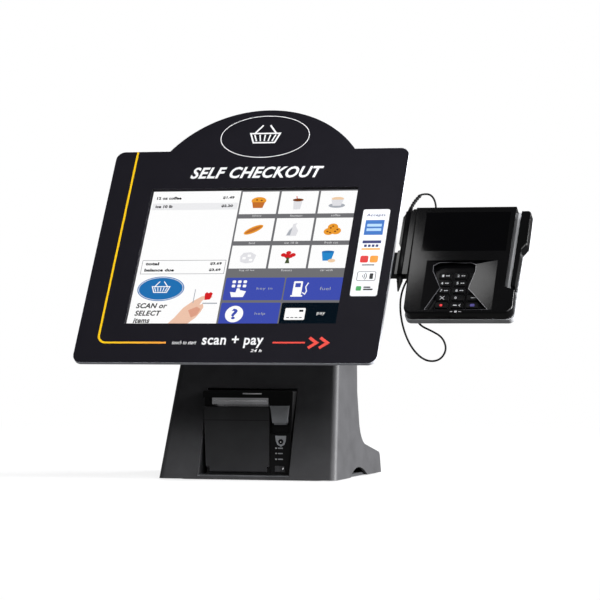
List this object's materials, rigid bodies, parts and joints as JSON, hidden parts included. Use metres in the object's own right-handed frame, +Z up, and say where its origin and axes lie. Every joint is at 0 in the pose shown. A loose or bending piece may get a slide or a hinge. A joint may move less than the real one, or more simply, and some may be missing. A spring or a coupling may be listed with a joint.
{
  "type": "self checkout kiosk",
  "caption": "Counter-top self checkout kiosk: tapered pedestal with receipt printer, tilting arched sign board with touch display, and payment terminal with tethered stylus on an arm.",
  "frame": {"origin": "centre of the pedestal's footprint, on the counter plane", "axes": "+X to the user's right, +Y away from the user, +Z up"},
  "size_m": [0.6277, 0.3731, 0.5284],
  "materials": {
    "pedestal": "fine moulded texture",
    "steel": "black powder coat",
    "bright_steel": "bright",
    "rubber": "matt",
    "printer_black": "fine texture",
    "printer_grey": "satin",
    "white_plastic": "satin",
    "paper": "matt",
    "board_print": "satin print on white board",
    "screen_glass": "polished",
    "lcd": "flat",
    "circuit": "solder mask",
    "terminal_black": "piano gloss",
    "terminal_grey": "satin",
    "key_black": "satin",
    "cord": "matt"
  },
  "bodies": {
    "base": {"pedestal_shell": "pedestal", "base_plate": "steel", "rubber_mat": "rubber", "case_screws": "bright_steel", "rear_access_cover": "pedestal", "printer_bay": "steel", "mast_bracket": "steel", "tilt_pin": "bright_steel"},
    "printer": {"printer_case": "printer_black", "cover_hinge_pin": "bright_steel", "feed_motor": "bright_steel", "thermal_head": "bright_steel", "tear_bar": "bright_steel", "printer_board": "circuit", "control_panel": "printer_black"},
    "cover": {"front_cover": "printer_black"},
    "platen": {"platen_roller": "rubber", "platen_gear": "white_plastic"},
    "motor": {"motor_pinion": "bright_steel"},
    "roll": {"paper_roll": "paper"},
    "cutter": {"cutter_blade": "bright_steel"},
    "lever": {"cover_lever": "printer_grey"},
    "feed": {"feed_button": "printer_grey"},
    "switch": {"power_switch": "printer_black"},
    "head": {"sign_board": "board_print", "display_bezel": "steel", "touch_glass": "screen_glass", "lcd_panel": "lcd", "rear_housing": "pedestal", "computer_board": "circuit", "tilt_bracket": "steel", "display_screws": "bright_steel", "terminal_arm": "steel", "terminal_pin": "bright_steel"},
    "terminal": {"terminal_front": "terminal_black", "terminal_rear": "terminal_grey", "terminal_lens": "screen_glass", "terminal_board": "circuit", "terminal_bracket": "steel", "keypad_deck": "terminal_black", "swipe_rail": "terminal_black", "stylus_holder": "terminal_black", "stylus_tether": "cord"},
    "stylus": {"stylus": "key_black", "strain_relief": "cord"},
    "key_1": {"key_1": "key_black"},
    "key_2": {"key_2": "key_black"},
    "key_3": {"key_3": "key_black"},
    "key_4": {"key_4": "key_black"},
    "key_5": {"key_5": "key_black"},
    "key_6": {"key_6": "key_black"},
    "key_7": {"key_7": "key_black"},
    "key_8": {"key_8": "key_black"},
    "key_9": {"key_9": "key_black"},
    "key_clear": {"key_clear": "key_black"},
    "key_0": {"key_0": "key_black"},
    "key_dash": {"key_dash": "key_black"},
    "key_cancel": {"key_cancel": "key_black"},
    "key_correct": {"key_correct": "key_black"},
    "key_enter": {"key_enter": "key_black"}
  },
  "joints": [
    {"name": "display_tilt", "type": "hinge", "parent": "base", "child": "head", "pos_m": [0, -0.0695, 0.262], "axis": [1, 0, 0], "range_deg": [-15, 10]},
    {"name": "printer_slide", "type": "slide", "parent": "base", "child": "printer", "axis": [0, -1, 0], "range_m": [0, 0.1]},
    {"name": "cover_hinge", "type": "hinge", "parent": "printer", "child": "cover", "pos_m": [0, -0.1015, 0.013], "axis": [1, 0, 0], "range_deg": [0, 88]},
    {"name": "roll_spin", "type": "hinge", "parent": "printer", "child": "roll", "pos_m": [0, -0.0475, 0.0483], "axis": [1, 0, 0], "continuous": true},
    {"name": "platen_spin", "type": "hinge", "parent": "cover", "child": "platen", "pos_m": [0, -0.0875, 0.096], "axis": [1, 0, 0], "continuous": true},
    {"name": "motor_spin", "type": "hinge", "parent": "printer", "child": "motor", "pos_m": [0, -0.07655, 0.096], "axis": [1, 0, 0], "continuous": true},
    {"name": "cutter_slide", "type": "slide", "parent": "printer", "child": "cutter", "axis": [0, 0, -1], "range_m": [0, 0.008], "stiffness_N_per_m": 150, "springref_m": -0.006},
    {"name": "lever_pull", "type": "hinge", "parent": "printer", "child": "lever", "pos_m": [0, -0.101, 0.08], "axis": [1, 0, 0], "range_deg": [0, 15], "stiffness_Nm_per_rad": 0.4, "springref_deg": -8.59},
    {"name": "feed_press", "type": "slide", "parent": "printer", "child": "feed", "axis": [0, 1, 0], "range_m": [0, 0.001], "stiffness_N_per_m": 500, "springref_m": -0.001},
    {"name": "power_rocker", "type": "hinge", "parent": "printer", "child": "switch", "pos_m": [0.0425, -0.1, 0.016], "axis": [0, 0, 1], "range_deg": [-6, 6]},
    {"name": "terminal_tilt", "type": "hinge", "parent": "head", "child": "terminal", "pos_m": [0.325, -0.10666, 0.2988], "axis": [1, 0, 0], "range_deg": [-10, 15]},
    {"name": "stylus_pull", "type": "slide", "parent": "terminal", "child": "stylus", "axis": [0, 0.5402, 0.8415], "range_m": [0, 0.08], "deforming": ["stylus_tether"]},
    {"name": "press_1", "type": "slide", "parent": "terminal", "child": "key_1", "axis": [0, 0.8415, -0.5402], "range_m": [0, 0.0008], "stiffness_N_per_m": 500, "springref_m": -0.001},
    {"name": "press_2", "type": "slide", "parent": "terminal", "child": "key_2", "axis": [0, 0.8415, -0.5402], "range_m": [0, 0.0008], "stiffness_N_per_m": 500, "springref_m": -0.001},
    {"name": "press_3", "type": "slide", "parent": "terminal", "child": "key_3", "axis": [0, 0.8415, -0.5402], "range_m": [0, 0.0008], "stiffness_N_per_m": 500, "springref_m": -0.001},
    {"name": "press_4", "type": "slide", "parent": "terminal", "child": "key_4", "axis": [0, 0.8415, -0.5402], "range_m": [0, 0.0008], "stiffness_N_per_m": 500, "springref_m": -0.001},
    {"name": "press_5", "type": "slide", "parent": "terminal", "child": "key_5", "axis": [0, 0.8415, -0.5402], "range_m": [0, 0.0008], "stiffness_N_per_m": 500, "springref_m": -0.001},
    {"name": "press_6", "type": "slide", "parent": "terminal", "child": "key_6", "axis": [0, 0.8415, -0.5402], "range_m": [0, 0.0008], "stiffness_N_per_m": 500, "springref_m": -0.001},
    {"name": "press_7", "type": "slide", "parent": "terminal", "child": "key_7", "axis": [0, 0.8415, -0.5402], "range_m": [0, 0.0008], "stiffness_N_per_m": 500, "springref_m": -0.001},
    {"name": "press_8", "type": "slide", "parent": "terminal", "child": "key_8", "axis": [0, 0.8415, -0.5402], "range_m": [0, 0.0008], "stiffness_N_per_m": 500, "springref_m": -0.001},
    {"name": "press_9", "type": "slide", "parent": "terminal", "child": "key_9", "axis": [0, 0.8415, -0.5402], "range_m": [0, 0.0008], "stiffness_N_per_m": 500, "springref_m": -0.001},
    {"name": "press_clear", "type": "slide", "parent": "terminal", "child": "key_clear", "axis": [0, 0.8415, -0.5402], "range_m": [0, 0.0008], "stiffness_N_per_m": 500, "springref_m": -0.001},
    {"name": "press_0", "type": "slide", "parent": "terminal", "child": "key_0", "axis": [0, 0.8415, -0.5402], "range_m": [0, 0.0008], "stiffness_N_per_m": 500, "springref_m": -0.001},
    {"name": "press_dash", "type": "slide", "parent": "terminal", "child": "key_dash", "axis": [0, 0.8415, -0.5402], "range_m": [0, 0.0008], "stiffness_N_per_m": 500, "springref_m": -0.001},
    {"name": "press_cancel", "type": "slide", "parent": "terminal", "child": "key_cancel", "axis": [0, 0.8415, -0.5402], "range_m": [0, 0.0008], "stiffness_N_per_m": 500, "springref_m": -0.001},
    {"name": "press_correct", "type": "slide", "parent": "terminal", "child": "key_correct", "axis": [0, 0.8415, -0.5402], "range_m": [0, 0.0008], "stiffness_N_per_m": 500, "springref_m": -0.001},
    {"name": "press_enter", "type": "slide", "parent": "terminal", "child": "key_enter", "axis": [0, 0.8415, -0.5402], "range_m": [0, 0.0008], "stiffness_N_per_m": 500, "springref_m": -0.001}
  ],
  "couplings": [
    {"joint": "platen_spin", "follows": "roll_spin", "ratio": 7.4},
    {"joint": "motor_spin", "follows": "roll_spin", "ratio": -14.8}
  ]
}
